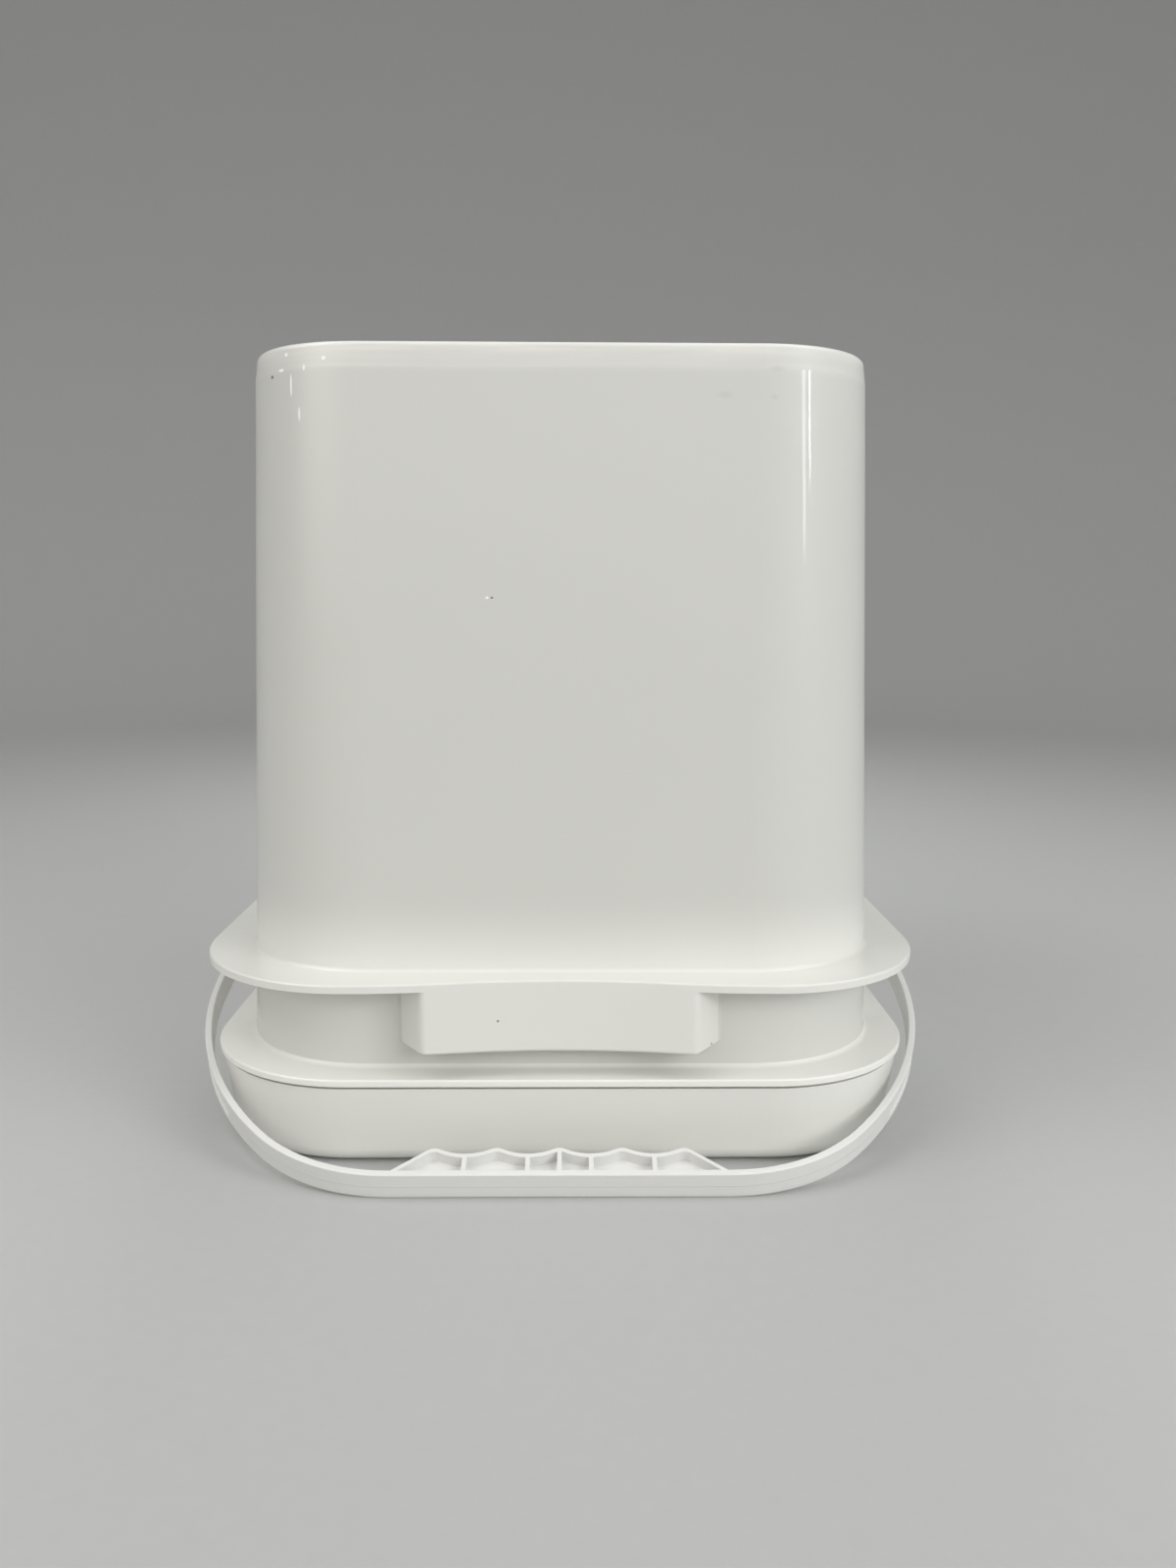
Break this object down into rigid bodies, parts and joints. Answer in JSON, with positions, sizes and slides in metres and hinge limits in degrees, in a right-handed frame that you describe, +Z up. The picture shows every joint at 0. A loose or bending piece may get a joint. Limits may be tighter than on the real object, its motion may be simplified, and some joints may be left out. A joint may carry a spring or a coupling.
{
  "type": "wide mouth bucket",
  "caption": "Square moulded pail with a wide mouth, carrying and rim flanges, slip-on lid and swinging finger-grip bail, standing mouth down on its lid",
  "frame": {"origin": "centre of the lid's closed face, on the surface it stands on, with the pail mouth down as pictured", "axes": "+Z up from the lid to the pail's base; -Y is the side with the bail, which faces the camera; +X to the right seen from there, along the bail's pivots"},
  "size_m": [0.3, 0.3002, 0.2951],
  "materials": {
    "bucket": "moulded white polypropylene, glossy, lightly worn",
    "lid": "moulded white polypropylene, glossy",
    "lid_seal": "soft pale seal ring, matte",
    "bail_handle": "moulded white polypropylene, satin"
  },
  "bodies": {
    "lid": {"lid": "lid", "lid_seal": "lid_seal"},
    "bucket": {"bucket": "bucket"},
    "bail": {"bail_handle": "bail_handle"}
  },
  "joints": [
    {"name": "bucket_lift", "type": "slide", "parent": "lid", "child": "bucket", "axis": [0, 0, 1], "range_m": [0, 0.12]},
    {"name": "bail_swing", "type": "hinge", "parent": "bucket", "child": "bail", "pos_m": [0, 0, 0.0514], "axis": [1, 0, 0], "range_deg": [-51, 198]}
  ]
}
